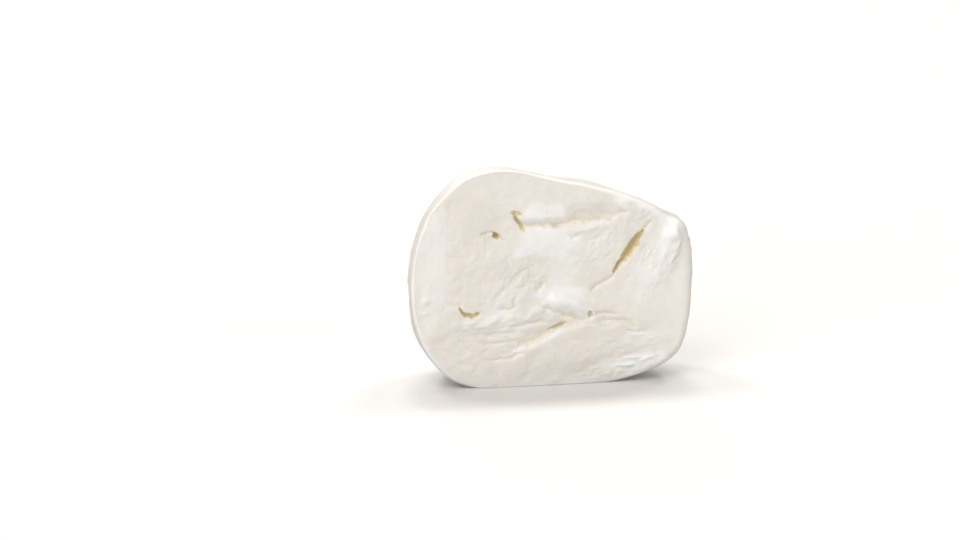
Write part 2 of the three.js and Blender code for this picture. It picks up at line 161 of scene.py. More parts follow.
# Creases: the route, the depth, how far the groove rises on the left and on the right of the
# route, the lips there as height and reach, and how far the left lip hangs over the groove.
CREASE_TAPER = 0.3  # share of a crease's length over which each of its ends runs out
CREASE_POWER = 1.3  # 1 makes the bottom of a crease sharp, 2 round
# Painted shade: the bottom of each crease is painted golden brown for the warm shade in it.
CREASE_PAINTED_SHADE = 0.35  # how golden the bottom of a crease is for each millimetre of depth
CREASE_PAINTED_SHADE_STARTS = 0.4  # share of the depth at which the gold starts
OVERHANG_FADE = 1.5  # distance from the cut edge within which the lips stop hanging over
CREASES = [
    ("groove under the upper swell",
     [(-6.8, 38.1), (-4.4, 38.2), (0, 38.3), (5, 38.7), (9.5, 38.9), (13, 39.2), (17.4, 40.7)],
     0.9, (1.3, 0.6), (0, 1), (0.35, 1.8), 0),
    ("shade under the upper swell",
     [(-8.6, 38.6), (-6, 38.2), (-2, 38.05), (1.5, 38.2), (4.6, 38.5)],
     1, (1.1, 0.6), (0, 1), (0.15, 1.4), 0),
    ("shade over the groove", [(4, 40.2), (8, 40.3), (12, 40.4), (17.6, 40.8)],
     0.25, (0.9, 0.9), (0, 1), (0, 1), 0),
    ("nick at its end", [(15.2, 41), (16.6, 40.7), (18, 41)],
     0.5, (0.7, 0.6), (0.15, 0.8), (0.15, 0.8), 0),
    ("crease under the lower swell",
     [(-4.6, 18.3), (-2.4, 18.7), (-0.4, 18.2), (1, 17.5), (2.6, 16.9), (4, 16.3), (5.4, 15.5),
      (6.9, 15), (8.2, 15.3), (9.1, 16.4), (9.8, 18)],
     1.05, (1, 0.5), (0, 1), (0.15, 1.2), 0),
    ("edge of the lower lobe",
     [(-12.5, 8.3), (-9.5, 9.3), (-8, 9.9), (-5, 10.9), (-1.8, 12), (1, 13.2), (3.2, 14.2),
      (6, 14.6), (9.5, 14.7)],
     1.25, (1.9, 0.45), (0.1, 2), (0.25, 2.2), 0),
    ("edge right of the fold", [(3, 14.3), (7, 14.5), (11, 14.4), (15, 14.1), (20, 13.8)],
     0.35, (0.9, 0.4), (0, 1), (0.25, 2), 0),
    ("upper streak of the fold",
     [(-11, 14.2), (-8, 14.6), (-4.5, 15.3), (-2.4, 15.2), (0.5, 14.6)],
     0.5, (0.8, 0.5), (0.1, 1.2), (0.1, 1), 0.05),
    ("first streak", [(-18.6, 12.4), (-14, 12.8), (-11, 13), (-6.4, 13.5)],
     0.28, (0.6, 0.5), (0.05, 1.2), (0.1, 1), 0),
    ("second streak", [(-18.6, 10.2), (-14, 10.6), (-11.5, 10.9), (-7.4, 11.5)],
     0.26, (0.6, 0.5), (0.05, 1.2), (0.1, 1), 0),
    ("third streak", [(-18.6, 7.1), (-14, 6.9), (-10.3, 6.8), (-8.6, 7.9), (-5.4, 8.5)],
     0.4, (0.6, 0.5), (0.05, 1), (0.25, 1.2), 0),
    ("upper line", [(9, 17), (11, 16.9), (13, 16.7), (16.4, 16.3)],
     0.6, (0.6, 0.5), (0.05, 1.2), (0.15, 1), 0.05),
    ("middle line", [(9.6, 15.4), (12.5, 15.2), (15, 14.9), (17.4, 14.5), (20, 13.5), (21.4, 12.6)],
     0.8, (0.7, 0.5), (0.05, 1), (0.2, 1.5), 0.05),
    ("lower line", [(15.8, 12.2), (19.5, 12.1), (24, 12)],
     0.28, (0.5, 0.5), (0.08, 1), (0.15, 1.2), 0.05),
    ("crack under the slit", [(15, 26.8), (13, 25), (11.6, 23.9), (9.1, 22.5), (7.4, 21.6)],
     0.45, (0.7, 0.6), (0.1, 1.2), (0.2, 1.6), 0.1),
    ("crack over the slit", [(20.4, 35), (21.6, 36.4), (22.3, 37.4), (23.4, 39.2)],
     0.55, (0.7, 0.55), (0.15, 1.2), (0.15, 1.2), 0.05),
    ("lips of the slit", [(13.8, 25.8), (16, 28.4), (17.5, 30.4), (19.9, 33.9), (21.4, 36)],
     0.3, (1.4, 0.8), (0, 1), (0.35, 1.4), 0),
    ("hook",
     [(-14.6, 18), (-12.6, 18.5), (-11, 18.6), (-9.7, 18.7), (-9.25, 19.5), (-9.1, 20.8),
      (-8.3, 22.4)],
     0.45, (0.6, 0.6), (0.2, 2.5), (0.05, 1), 0.05),
    ("valley by the hook", [(-9.6, 23), (-7.8, 23.6), (-5.8, 23.9)],
     0.3, (0.7, 0.7), (0.1, 1.2), (0.1, 1.2), 0),
    ("tail of the eye", [(-21, 18.9), (-22.4, 19.7), (-23.6, 20.1), (-25.6, 20.5)],
     0.35, (0.6, 0.6), (0.1, 2), (0.05, 1), 0.05),
    ("inside of the left band", [(-25.4, 19), (-24.7, 29), (-24.5, 39), (-23.6, 47)],
     0.12, (0.9, 1.2), (0.1, 2.6), (0, 1), 0),
    ("nick right of the milk", [(3, 35), (4.6, 35.3), (7, 35.7)],
     0.42, (0.5, 0.5), (0.1, 1), (0.15, 1), 0.1),
    ("dash right of it", [(7.6, 34.1), (9.2, 34.4), (11.2, 34.6)],
     0.25, (0.5, 0.5), (0.05, 1), (0.1, 1), 0.05),
    ("nick left of the film", [(-6.1, 26.5), (-4.3, 26.75), (-2.7, 26.3)],
     0.38, (0.55, 0.55), (0.1, 1), (0.1, 1), 0.05),
    ("nick above the lower swell", [(-4.1, 21.7), (-3.8, 22.9), (-2.9, 23.5), (-2, 24.9)],
     0.5, (0.6, 0.6), (0.1, 1), (0.1, 1), 0.05),
    ("upper diagonal", [(-13.6, 21.8), (-9.6, 24.7), (-7.2, 27.2), (-4.8, 30.4)],
     0.16, (0.8, 0.8), (0.1, 1.3), (0.1, 1.3), 0),
    ("lower diagonal", [(-10, 20.8), (-7, 23.4), (-4.4, 26.8)],
     0.14, (0.7, 0.7), (0.1, 1.3), (0.1, 1.3), 0),
]

# Openings in the curd: the route along the middle, the half-width and the depth.
OPENING_END = {"width": 0.35, "depth": 0.45}  # shares that are left at the ends of a route
OPENING_EDGE = {"ragged": 0.35, "size": 1.3, "seed": 60}  # noise on the half-width
OPENING_WALL = 0.5  # share of the half-width that the wall takes
# Painted shade: openings are painted golden brown inside and a little past their edges, for the warm
# shade in them.
OPENING_PAINTED_SHADE = {"reach": 1.25, "fade": 0.6}  # how far out the gold ends and fades, in half-widths
OPENING_FULL_SHADE_DEPTH = 2  # depth from which an opening is all golden inside
OPENINGS = [
    ("slit", [(15.8, 28.6), (17.4, 30.6), (18.6, 32.3), (19.8, 34), (21.2, 35.9)], 1.05, 2.1),
    ("foot of the slit", [(14.3, 26.3), (15.3, 27.6), (16.4, 29.2), (17.6, 31)], 0.72, 1.6),
    ("round hole", [(-13.9, 36.5), (-13.5, 35.9), (-13.3, 35.2)], 0.95, 1.9),
    ("its crack", [(-17, 36.3), (-15, 36.8), (-13.6, 36.5)], 0.36, 0.6),
    ("its right corner", [(-13.4, 35.7), (-12.6, 35.5), (-11.4, 35.1)], 0.36, 0.6),
    ("crevice top", [(-9.7, 41.2), (-8.8, 41), (-7.7, 41.2)], 0.7, 1.3),
    ("crevice foot", [(-9.1, 40.9), (-8.9, 39.8), (-8.1, 39), (-7.6, 38.3), (-7.1, 37.1)],
     0.66, 1.6),
    ("eye",
     [(-21.8, 19.1), (-21, 18), (-20.2, 17.6), (-19.3, 17.5), (-18.4, 17.6), (-17.5, 18)],
     0.6, 1.8),
    ("pit by the swell", [(8.6, 17.4), (8.9, 16.7), (9.4, 16.4)], 0.7, 1.2),
    ("core of the fold", [(-0.9, 13.5), (0.6, 13.9), (2.1, 14.4), (3.4, 14.8)], 0.55, 1.1),
]

# Where milk or whey lies on the curd, and a few painted highlights: place, half-lengths, turn, and
# how white it makes it.
# MILK_EDGE says how many half-lengths out the milk ends, over how many it fades, and the noise
# that moves its edge in and out.
MILK_EDGE = {"ends": 1.5, "fade": 0.95, "wander": 0.3, "sizes": (3.5, 1.4, 0.7), "seed": 40}
MILK = [
    ("upper swell", (-2.2, 40.6), (4.3, 2.1), -2, 1),
    ("under the groove", (-0.8, 34.3), (5.8, 3.3), 0, 1),
    # painted highlight: the lit lip under the groove, painted paler
    ("lip right of it", (7.6, 37.5), (5.4, 0.7), 8, 0.6),
    ("tongue to the left", (-6.4, 32.2), (2.8, 1.1), 14, 0.8),
    ("film", (1.4, 27.4), (4.6, 4.4), 0, 0.35),
    ("lower swell", (2.6, 20.2), (5.2, 2.5), -4, 1),
    ("its nose", (6.6, 17.8), (2.8, 1.6), -44, 0.8),
    ("flank of the lower swell", (-3, 18.9), (3.2, 1), 36, 0.5),
    ("knot", (29.2, 36), (4.6, 3.4), 62, 1),
    ("patch by the top edge", (16.4, 43.6), (2.2, 1.7), -20, 0.8),
    ("under the eye", (-14, 16), (7, 1.8), 2, 0.45),
    ("left band", (-28.4, 31), (15, 3.2), 89, 0.55),
    ("band behind the slit", (24.5, 30), (10, 3.4), 66, 0.4),
    # painted highlight: the lit crest of the lower lobe, painted paler
    ("edge of the lower lobe", (-3, 11), (9, 0.9), 24, 0.35),
    ("right of the lower lobe", (21, 10.6), (6, 2), 4, 0.4),
    # whey, with the painted highlight of the wet glints on the lumps there
    ("base at the right", (18.8, 5), (6.5, 1.6), 10, 1),
    ("granular curd", (-11.5, 21.6), (5, 3.6), 30, 0.3),
    ("upper field", (-4, 46), (17, 3), 0, 0.12),
    ("right of the milk", (10, 33), (6, 4), 50, 0.25),
    ("right of the slit", (22, 22), (7, 7), 0, 0.25),
    ("right edge", (29.5, 18), (9, 3), 85, 0.25),
]

# Curd torn into fibres: place, half-lengths, turn, pitch across, stretch along, height.
FIBRES = [
    ("left band", (-27.6, 33), (13, 2.6), 89, 1.3, 5, 0.16),
    ("left field", (-18.6, 32), (9, 6), 40, 1.5, 1.2, 0.12),
    ("upper field", (-6, 46), (16, 2.6), 0, 1.6, 1.5, 0.07),
    ("diagonal", (-8.8, 24.2), (8.5, 4.4), 45, 1, 1.3, 0.17),
    ("under the eye", (-14.5, 15.6), (8.5, 2.6), 4, 1.2, 1.8, 0.22),
    ("streaks", (-11, 10.6), (8, 3.2), 7, 0.95, 5, 0.16),
    ("right of the milk", (10.8, 32), (7, 4), 50, 1.1, 1.8, 0.2),
    ("right band", (26, 29.4), (10, 4), 62, 1, 3, 0.34),
    ("right of the slit", (21.5, 28), (6, 3.5), 60, 1.1, 1.8, 0.24),
    ("by the knot", (22.6, 39.4), (5, 2.4), 40, 1.1, 1.8, 0.24),
    ("lower right", (18, 9.6), (9, 3.2), 4, 1.4, 2.2, 0.2),
    ("base", (16.5, 4.4), (9.5, 2), 8, 1.1, 1.8, 0.34),
    ("lower left", (-20, 8), (6, 5), 150, 1.6, 1.5, 0.1),
]

# ---------------------------------------------------------------- relief of the skin

SKIN_WAVES = {"count": 7, "height": 0.13, "longest": 26, "shortest": 11}
SKIN_RISE = 0.35  # turn in radians from the rim, or the back, to the full relief

# The drawn-in knot: its place, how far its pleats reach, and within which share of that reach
# they start and the hollow in the middle lies.
KNOT = {
    "at": (33, 6.5, 33), "reach": 11, "pleats": 9, "height": 0.6, "pleats_start": 1 / 2,
    "hollow": 1.1, "hollow_reach": 1 / 3,
}

# ---------------------------------------------------------------- fine relief

# Inputs of the fine relief, each with the setting that feeds it.
RELIEF_INPUTS = {
    "Grain size": "grain_size",
    "Grain height": "grain_height",
    "Fibre height": "fibre_height",
    "Skin size": "skin_size",
    "Skin height": "skin_height",
    "Wrinkle size": "wrinkle_size",
    "Wrinkle height": "wrinkle_height",
    "Pimple height": "pimple_height",
    "Seed": "seed",
}

SEED_STEP = 0.137  # metres from the noise of one seed to that of the next
FIBRE_LUMPS = {"detail": 2.0, "roughness": 0.45}
FIBRE_PATCH_POWER = 3.0  # how squarely a patch of fibres ends
SKIN_BUMPS = {"detail": 3.0, "roughness": 0.45}

# Wrinkles are ridges where squeezed noise is within the width of 0, in patches where other
# noise is high.
WRINKLES = {"squeeze": (0.5, 0.7, 1.0), "distortion": 0.8, "width": 0.22}
WRINKLED = {"size": 13 * MM, "from": -0.05, "full": 0.3}

PIMPLES = {"spacing": 9 * MM, "top": 0.03, "foot": 0.13}  # top and foot as shares of the spacing
RELIEF_OVER_TABLE = 1.5 * MM  # height over the table at which the fine relief is whole

# ---------------------------------------------------------------- finish and light

CURD_RANGE = (0.55, 1.0)  # the cut mask from all skin to all curd
CLOUDS = {"size": 11 * MM, "detail": 3.0, "roughness": 0.55}
CLOUD_RANGE = (-0.5, 0.5)  # the cloud noise from pale to dark
FLECKS = {"size": 2.2 * MM, "detail": 3.0, "roughness": 0.6}
FLECK_RANGE = (0.1, 0.6)  # the fleck noise from plain curd to the milkiest
FLECK_MILK = 0.35  # how milky the milkiest flecks are
FLECK_ROUGHNESS = 0.08  # how much rougher the milkiest flecks are
# Painted light: the rim where curd turns into skin is painted paler with the milk colour, for the
# light it catches.
RIM_PAINTED_LIGHT = 3.6  # how milky the rim is where curd turns into skin, up to 4 for all milk
WET_RANGE = (0.1, 0.5)  # the cloud noise from drained to wettest
WET_CLOUDS = 0.5  # how wet the wettest clouds are, where milk is 1
COAT = {"dry": 0.12, "wet": 0.45}
PORES = {"size": 0.5 * MM, "strength": 0.35, "depth": 0.06 * MM}

# Distant lights: the setting that holds their strength, how much of it each has, their width
# in degrees, and the way their rays travel.
SUNS = {
    "key_light_right": ("key_strength", 0.5, 15, (-0.5, -0.4, -1)),
    "key_light_middle": ("key_strength", 0.5, 15, (-0.05, -0.4, -1)),
    "key_light_left": ("key_strength", 0.5, 15, (0.4, -0.4, -1)),
    "back_light": ("back_strength", 1, 40, (0, -1, -0.6)),
    "front_light": ("front_strength", 1, 40, (0.6, 0.7, -1)),
    "fill_light_left": ("fill_strength", 1, 40, (0.8, 1, -0.25)),
    "fill_light_right": ("fill_strength", 0.5, 40, (-0.8, 1, -0.25)),
}

SENSOR_WIDTH = 36  # in millimetres, as the focal length is
CLIP = (0.01, 20)  # nearest and farthest that the camera sees, in metres


# ---------------------------------------------------------------- helpers for shapes


def smooth(t):
    """A rise from 0 to 1 with flat ends."""
    t = np.clip(t, 0, 1)
    return t * t * (3 - 2 * t)


def bell(t):
    """A bell of height 1 round 0."""
    return np.exp(-t * t)


def near(degrees, stretch):
    """How near directions are to the middle of a stretch of the section, as a bell."""
    return bell(((degrees - stretch["direction"] + 180) % 360 - 180) / stretch["spread"])


def smooth_curve(points, steps, closed=False):
    """A centripetal Catmull-Rom curve through the points, as `steps` points for each span."""
    points = np.array(points, float)
    if closed:
        points = np.vstack([points[-1], points, points[:2]])
    else:
        points = np.vstack([2 * points[0] - points[1], points, 2 * points[-1] - points[-2]])
    t = np.linspace(0, 1, steps, endpoint=False)[:, None]
    spans = []
    for a, b, c, d in zip(points, points[1:], points[2:], points[3:]):
        before, here, after = (math.sqrt(math.dist(p, q)) for p, q in ((a, b), (b, c), (c, d)))
        leave = ((b - a) / before - (c - a) / (before + here) + (c - b) / here) * here
        arrive = ((c - b) / here - (d - b) / (here + after) + (d - c) / after) * here
        cubic = 2 * b - 2 * c + leave + arrive
        square = 3 * c - 3 * b - 2 * leave - arrive
        spans.append(b + leave * t + square * t**2 + cubic * t**3)
    if not closed:
        spans.append(points[-2:-1])
    return np.vstack(spans)


def feature_axes(x, z, at, turn):
    """Places on the face in the axes of a feature, as along and across."""
    angle = math.radians(turn)
    dx, dz = x - at[0], z - at[1]
    return dx * math.cos(angle) + dz * math.sin(angle), dz * math.cos(angle) - dx * math.sin(angle)


def beside_route(x, z, route):
    """Signed distance to a route, positive on its left, the share covered and the way left."""
    line = smooth_curve(route, ROUTE_STEPS)
    steps = np.hypot(*np.diff(line, axis=0).T)
    before = np.concatenate([[0], np.cumsum(steps)])
    nearest = np.full(x.shape, np.inf)
    side, covered, left_x, left_z = (np.zeros(x.shape) for _ in range(4))
    for (ax, az), (bx, bz), length, start in zip(line, line[1:], steps, before):
        ux, uz = (bx - ax) / length, (bz - az) / length
        along = np.clip((x - ax) * ux + (z - az) * uz, 0, length)
        dx, dz = x - ax - ux * along, z - az - uz * along
        distance = np.hypot(dx, dz)
        better = distance < nearest
        nearest = np.where(better, distance, nearest)
        side = np.where(better, np.where(ux * dz - uz * dx < 0, -1, 1), side)
        covered = np.where(better, (start + along) / before[-1], covered)
        left_x, left_z = np.where(better, -uz, left_x), np.where(better, ux, left_z)
    return nearest * side, covered, left_x, left_z


def noise(x, z, size, seed):
    """Gradient noise from about -1 to 1, with bumps of the given size."""
    turns = np.random.default_rng(seed).uniform(0, 2 * math.pi, (NOISE_CELLS, NOISE_CELLS))
    u, v = x / size, z / size
    column, row = np.floor(u).astype(int), np.floor(v).astype(int)
    total = np.zeros(x.shape)
    for right, up in ((0, 0), (1, 0), (0, 1), (1, 1)):
        turn = turns[(column + right) % NOISE_CELLS, (row + up) % NOISE_CELLS]
        du, dv = u - column - right, v - row - up
        slope = du * np.cos(turn) + dv * np.sin(turn)
        total += slope * smooth(1 - np.abs(du)) * smooth(1 - np.abs(dv))
    return 2 * total


def layered_noise(x, z, sizes, seed):
    """Noise with finer layers on it, each as much lower as it is smaller."""
    layers = (noise(x, z, size, seed + i) * size for i, size in enumerate(sizes))
    return sum(layers) / max(sizes)


def warped(x, z, reach, sizes, seeds):
    """Places moved by layered noise along x and along z."""
    return (x, z) + reach * np.array([layered_noise(x, z, sizes, seed) for seed in seeds])


# ---------------------------------------------------------------- the cut face


def crease_relief(x, z):
    """The creases' height, how far their left lips move along x and z, and their painted shade."""
    height, shift_x, shift_z, shade = (np.zeros(x.shape) for _ in range(4))
    for _, route, depth, (rise_left, rise_right), left_lip, right_lip, overhang in CREASES:
        distance, covered, left_x, left_z = beside_route(x, z, route)
        inside = smooth(np.minimum(covered, 1 - covered) / CREASE_TAPER)
        left = distance > 0
        rise = np.where(left, rise_left, rise_right)
        sunk = np.exp(-((np.abs(distance) / rise) ** CREASE_POWER))
        lip, reach = (np.where(left, a, b) for a, b in zip(left_lip, right_lip))
        lips = lip * (1 - bell(distance / rise)) * np.exp(-np.abs(distance) / reach)
        height += inside * (lips - depth * sunk)
        hang = overhang * inside * np.where(left, bell((distance - rise_left) / rise_left), 0)
        shift_x -= left_x * hang
        shift_z -= left_z * hang
        # painted shade: golden brown along the bottom of the crease, more for deeper creases
        lowest = (inside * sunk - CREASE_PAINTED_SHADE_STARTS) / (1 - CREASE_PAINTED_SHADE_STARTS)
        shade = np.maximum(shade, CREASE_PAINTED_SHADE * depth * smooth(lowest))
    return height, shift_x, shift_z, shade


def opening_depth(x, z):
    """How deep the openings are, and how much golden shade is painted in and round them, from 0 to
    1.
    """
    depth, hollow = np.zeros(x.shape), np.zeros(x.shape)
    ragged = 1 + OPENING_EDGE["ragged"] * noise(x, z, OPENING_EDGE["size"], OPENING_EDGE["seed"])
    for _, route, half_width, deepest in OPENINGS:
        distance, covered, _, _ = beside_route(x, z, route)
        ends = np.clip(4 * covered * (1 - covered), 0, 1)
        width = half_width * (OPENING_END["width"] + (1 - OPENING_END["width"]) * np.sqrt(ends))
        share = np.abs(distance) / (width * ragged)
        inside = smooth((1 - share) / OPENING_WALL)
        floor = deepest * (OPENING_END["depth"] + (1 - OPENING_END["depth"]) * ends)
        depth = np.maximum(depth, inside * floor)
        # painted shade: golden brown inside the opening and a little round it
        painted_shade = smooth((OPENING_PAINTED_SHADE["reach"] - share) / OPENING_PAINTED_SHADE["fade"])
        hollow = np.maximum(hollow, painted_shade * min(1, deepest / OPENING_FULL_SHADE_DEPTH))
    return depth, hollow


def milk_cover(x, z):
    """How much milk, and the highlights painted on lit lips, whiten the curd, from 0 to 1."""
    bare = np.ones(x.shape)
    wander = MILK_EDGE["wander"] * layered_noise(x, z, MILK_EDGE["sizes"], MILK_EDGE["seed"])
    for _, at, halves, turn, strength in MILK:
        along, across = feature_axes(x, z, at, turn)
        share = np.hypot(along / halves[0], across / halves[1]) + wander
        bare *= 1 - strength * smooth((MILK_EDGE["ends"] - share) / MILK_EDGE["fade"])
    return 1 - bare


def face_relief(x, z):
    """Height of the cut face over its plane, its sideways shift, and the shade painted in its
    hollows.
    """
    waves = layered_noise(x, z, BROAD_WAVES["sizes"], BROAD_WAVES["seed"])
    height = BROAD_WAVES["height"] * waves
    soft_x, soft_z = warped(x, z, **SOFT_WARP)
    for _, at, halves, turn, top in MOUNDS:
        along, across = feature_axes(soft_x, soft_z, at, turn)
        height += top * bell(np.hypot(along / halves[0], across / halves[1]))
    creases, shift_x, shift_z, shade = crease_relief(*warped(x, z, **TORN_WARP))
    depth, hollow = opening_depth(*warped(x, z, **RAGGED_WARP))
    return height + creases - depth, shift_x, shift_z, np.maximum(hollow, shade)


# ---------------------------------------------------------------- the body's rings


def section_curve():
    """The widest section as closely set points, and the distance of each from the start."""
    line = smooth_curve(WIDEST_SECTION, SECTION_STEPS, closed=True)
    line = np.vstack([line, line[:1]])
    travelled = np.concatenate([[0], np.cumsum(np.hypot(*np.diff(line, axis=0).T))])
    return line, travelled


def section_at(section, count):
    """Evenly spaced places on the widest section, with what the edge and skin need there."""
    line, travelled = section
    at = np.arange(count) / count * travelled[-1]
    arm_x = np.interp(at, travelled, line[:, 0]) - CENTRE[0]
    arm_z = np.interp(at, travelled, line[:, 1]) - CENTRE[1]
    degrees = np.degrees(np.arctan2(arm_z, arm_x))
    knot, base, belly = (near(degrees, stretch) for stretch in (KNOT_EDGE, BASE_EDGE, BELLY))
    return {
        "x": arm_x,
        "z": arm_z,
        "length": np.hypot(arm_x, arm_z),
        "inset": EDGE["inset"] + KNOT_EDGE["inset"] * knot + BASE_EDGE["inset"] * base,
        "depth": EDGE["depth"] + KNOT_EDGE["depth"] * knot + BASE_EDGE["depth"] * base,
        "power": SKIN_POWER + (BELLY["power"] - SKIN_POWER) * belly,
    }


def face_ring(places, scale):
    """A ring on the cut face, where scale is 1 at the cut edge and 0 in the middle."""
    reach = scale * (1 - places["inset"] / places["length"])
    x, z = places["x"] * reach + CENTRE[0], places["z"] * reach + CENTRE[1]
    height, shift_x, shift_z, hollow = face_relief(x, z)
    near_edge = smooth((1 - scale) * places["length"] / OVERHANG_FADE)
    points = np.stack([x + shift_x * near_edge, -height, z + shift_z * near_edge], 1)
    return points, hollow, milk_cover(x, z)


def edge_ring(places, turn):
    """A ring on the rolled edge, where turn is 0 at the cut edge and a right angle outside."""
    flat = 1 - math.sin(turn)
    reach = 1 - places["inset"] * flat / places["length"]
    x, z = places["x"] * reach + CENTRE[0], places["z"] * reach + CENTRE[1]
    height, _, _, hollow = face_relief(x, z)
    y = places["depth"] * (1 - math.cos(turn)) - height * flat**2
    return np.stack([x, y, np.maximum(z, 0)], 1), hollow * flat, milk_cover(x, z) * flat


def skin_relief(points):
    """Height of the skin over the smooth ball: broad waves, and pleats drawn in at the knot."""
    height = np.zeros(len(points))
    for i in range(SKIN_WAVES["count"]):
        share = (i + 0.5) / SKIN_WAVES["count"]
        polar, turn = math.acos(1 - 2 * share), i * GOLDEN_ANGLE
        across = math.sin(polar)
        direction = (across * math.sin(turn), math.cos(polar), across * math.cos(turn))
        longest, shortest = SKIN_WAVES["longest"], SKIN_WAVES["shortest"]
        length = longest + (shortest - longest) * share
        height += SKIN_WAVES["height"] * np.sin(2 * math.pi * points @ direction / length + i)
    offset = points - KNOT["at"]
    share = np.linalg.norm(offset, axis=1) / KNOT["reach"]
    pleats = np.cos(KNOT["pleats"] * np.arctan2(offset[:, 2], offset[:, 1]))
    height += KNOT["height"] * pleats * smooth(share / KNOT["pleats_start"]) * bell(share)
    return height - KNOT["hollow"] * bell(share / KNOT["hollow_reach"])


def skin_ring(places, turn, belly_depth):
    """A ring on the skin, where turn is 0 at the widest section and a right angle at the back."""
    cos, sin, power = math.cos(turn), math.sin(turn), places["power"]
    reach = (cos**power + sin**power) ** (-1 / power)
    out = np.stack([places["x"], np.zeros_like(reach), places["z"]], 1) * (reach * cos)[:, None]
    out[:, 1] = (belly_depth - places["depth"]) * reach * sin
    points = out + [CENTRE[0], 0, CENTRE[1]]
    points[:, 1] += places["depth"]
    outward = out / np.linalg.norm(out, axis=1)[:, None]
    fade = smooth(turn / SKIN_RISE) * smooth((math.pi / 2 - turn) / SKIN_RISE)
    points += outward * (skin_relief(points) * fade)[:, None]
    points[:, 2] = np.maximum(points[:, 2], 0)
    return points


def body_rings(face_step, skin_step, belly_depth):
    """Every ring from the middle of the face to the back, as points, cut, painted hollow shade and
    milk.

    The first and the last are single points.
    """
    section = section_curve()
    around = section[1][-1]
    mean_radius = around / (2 * math.pi)

    def places(scale, step):
        return section_at(section, max(FEWEST_IN_RING, round(around * scale / step)))

    x, z = np.array(CENTRE, float)[:, None]
    height, _, _, hollow = face_relief(x, z)
    rings = [(np.stack([x, -height, z], 1), [1], hollow, milk_cover(x, z))]
    face_rings = round(mean_radius / face_step)
    for i in range(1, face_rings + 1):
        scale = i / face_rings
        points, hollow, milk = face_ring(places(scale, face_step), scale)
        rings.append((points, np.ones(len(points)), hollow, milk))
    for i in range(1, EDGE_RINGS + 1):
        share = i / EDGE_RINGS
        step = face_step + (skin_step - face_step) * share
        points, hollow, milk = edge_ring(places(1, step), share * math.pi / 2)
        cut = np.full(len(points), 1 - smooth(share / SKIN_STARTS))
        rings.append((points, cut, hollow, milk))
    skin_rings = round(SKIN_ARC * mean_radius / skin_step)
    for i in range(1, skin_rings):
        turn = i / skin_rings * math.pi / 2
        points = skin_ring(places(math.cos(turn), skin_step), turn, belly_depth)
        rings.append((points, *np.zeros((3, len(points)))))
    rings.append((np.array([[CENTRE[0], belly_depth, CENTRE[1]]]), [0], [0], [0]))
    return rings


def stitch(triangles, first, second):
    """Adds triangles between two rings, each as the number of its first point and its count."""
    (start_a, count_a), (start_b, count_b) = first, second
    steps_a, steps_b = (count if count > 1 else 0 for count in (count_a, count_b))
    a = b = 0
    while a < steps_a or b < steps_b:
        from_a, from_b = start_a + a % count_a, start_b + b % count_b
        if b == steps_b or (a < steps_a and (a + 1) * steps_b <= (b + 1) * steps_a):
            a += 1
            triangles.append((from_a, from_b, start_a + a % count_a))
        else:
            b += 1
            triangles.append((from_a, from_b, start_b + b % count_b))


def ball_mesh(sizes):
    """The half ball as a closed mesh in the frame's place, and where its own origin is there.

    Its attributes say where the surface is cut, how much shade is painted in its hollows, and how
    milky it is.
    """
    rings = body_rings(sizes.face_step / MM, sizes.skin_step / MM, sizes.belly_depth / MM)
    counts = [len(ring[0]) for ring in rings]
    numbered = list(zip(accumulate(counts, initial=0), counts))
    triangles = []
    for first, second in zip(numbered, numbered[1:]):
        stitch(triangles, first, second)

    points = np.vstack([ring[0] for ring in rings]) * MM
    aside = (LOW.x + HIGH.x - points[:, 0].min() - points[:, 0].max()) / 2
    origin = Vector((aside, HIGH.y - points[:, 1].max(), 0))
    mesh = bpy.data.meshes.new("half_ball")
    mesh.from_pydata((points + origin).tolist(), [], triangles)
    for column, name in enumerate(MASKS, 1):
        values = np.concatenate([ring[column] for ring in rings]).astype(np.float32)
        mesh.attributes.new(name, "FLOAT", "POINT").data.foreach_set("value", values)
    mesh.shade_smooth()
    return mesh, origin


# ---------------------------------------------------------------- helpers for node trees


